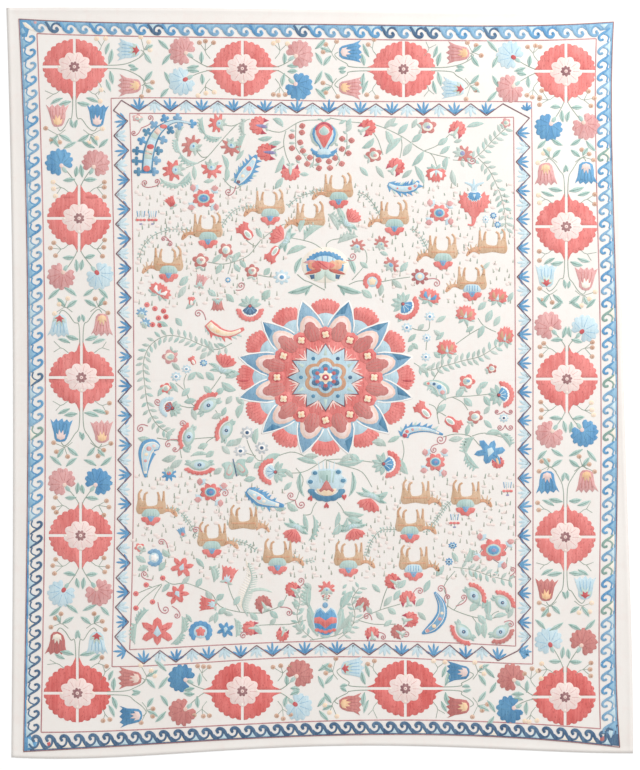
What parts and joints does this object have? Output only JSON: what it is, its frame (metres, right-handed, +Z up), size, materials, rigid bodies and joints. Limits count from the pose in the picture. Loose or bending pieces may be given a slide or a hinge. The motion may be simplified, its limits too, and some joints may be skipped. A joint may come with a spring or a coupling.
{
  "type": "suzani embroidered textile",
  "caption": "Large flat suzani cover: cotton ground cloth with silk embroidery, a wave and rosette border, a zigzag frame and a central medallion.",
  "frame": {"origin": "on the surface the cloth lies on, under the middle of its outline", "axes": "+X to the design's right, +Y to the design's top edge, +Z up out of the embroidered face"},
  "size_m": [2.13, 2.5533, 0.003],
  "materials": {
    "ground": "plain woven cotton, cream, slightly mottled",
    "red_silk": "laid and couched silk thread, streaky red",
    "rose_silk": "laid and couched silk thread, dusky rose",
    "blue_silk": "laid and couched silk thread, streaky indigo",
    "light_blue_silk": "laid and couched silk thread, pale blue",
    "green_silk": "silk thread, grey green, stems and leaves",
    "tan_silk": "silk thread, tan, deer and berries",
    "cream_silk": "silk thread, cream, peach and pale yellow",
    "plum_silk": "silk thread, dark plum line"
  },
  "bodies": {
    "root": {"ground_cloth": "ground", "wave_band": "blue_silk", "border_rule": "rose_silk", "field_rule_outer": "rose_silk", "field_rule_inner": "rose_silk", "zigzag_line": "plum_silk", "rosette_top_1": "red_silk", "rosette_top_2": "red_silk", "rosette_top_3": "red_silk", "rosette_top_4": "red_silk", "rosette_left_1": "red_silk", "rosette_left_2": "red_silk", "rosette_left_3": "red_silk", "rosette_right_1": "red_silk", "rosette_right_2": "red_silk", "rosette_right_3": "red_silk", "rosette_bottom_1": "red_silk", "rosette_bottom_2": "red_silk", "rosette_bottom_3": "red_silk", "rosette_bottom_4": "red_silk", "medallion_fan_01": "red_silk", "medallion_fan_02": "red_silk", "medallion_fan_03": "red_silk", "medallion_fan_04": "red_silk", "medallion_fan_05": "red_silk", "medallion_fan_06": "red_silk", "medallion_fan_07": "red_silk", "medallion_fan_08": "red_silk", "medallion_fan_09": "red_silk", "medallion_fan_10": "red_silk", "medallion_fan_11": "red_silk", "medallion_fan_12": "red_silk", "medallion_petal_01": "blue_silk", "medallion_petal_02": "blue_silk", "medallion_petal_03": "blue_silk", "medallion_petal_04": "blue_silk", "medallion_petal_05": "blue_silk", "medallion_petal_06": "blue_silk", "medallion_petal_07": "blue_silk", "medallion_petal_08": "blue_silk", "medallion_petal_09": "blue_silk", "medallion_petal_10": "blue_silk", "medallion_petal_11": "blue_silk", "medallion_petal_12": "blue_silk", "medallion_ring": "red_silk", "medallion_star": "light_blue_silk", "medallion_heart": "blue_silk", "palmette_top": "blue_silk", "palmette_upper": "blue_silk", "palmette_lower": "light_blue_silk", "palmette_bottom": "blue_silk", "crescent": "blue_silk"}
  },
  "joints": []
}
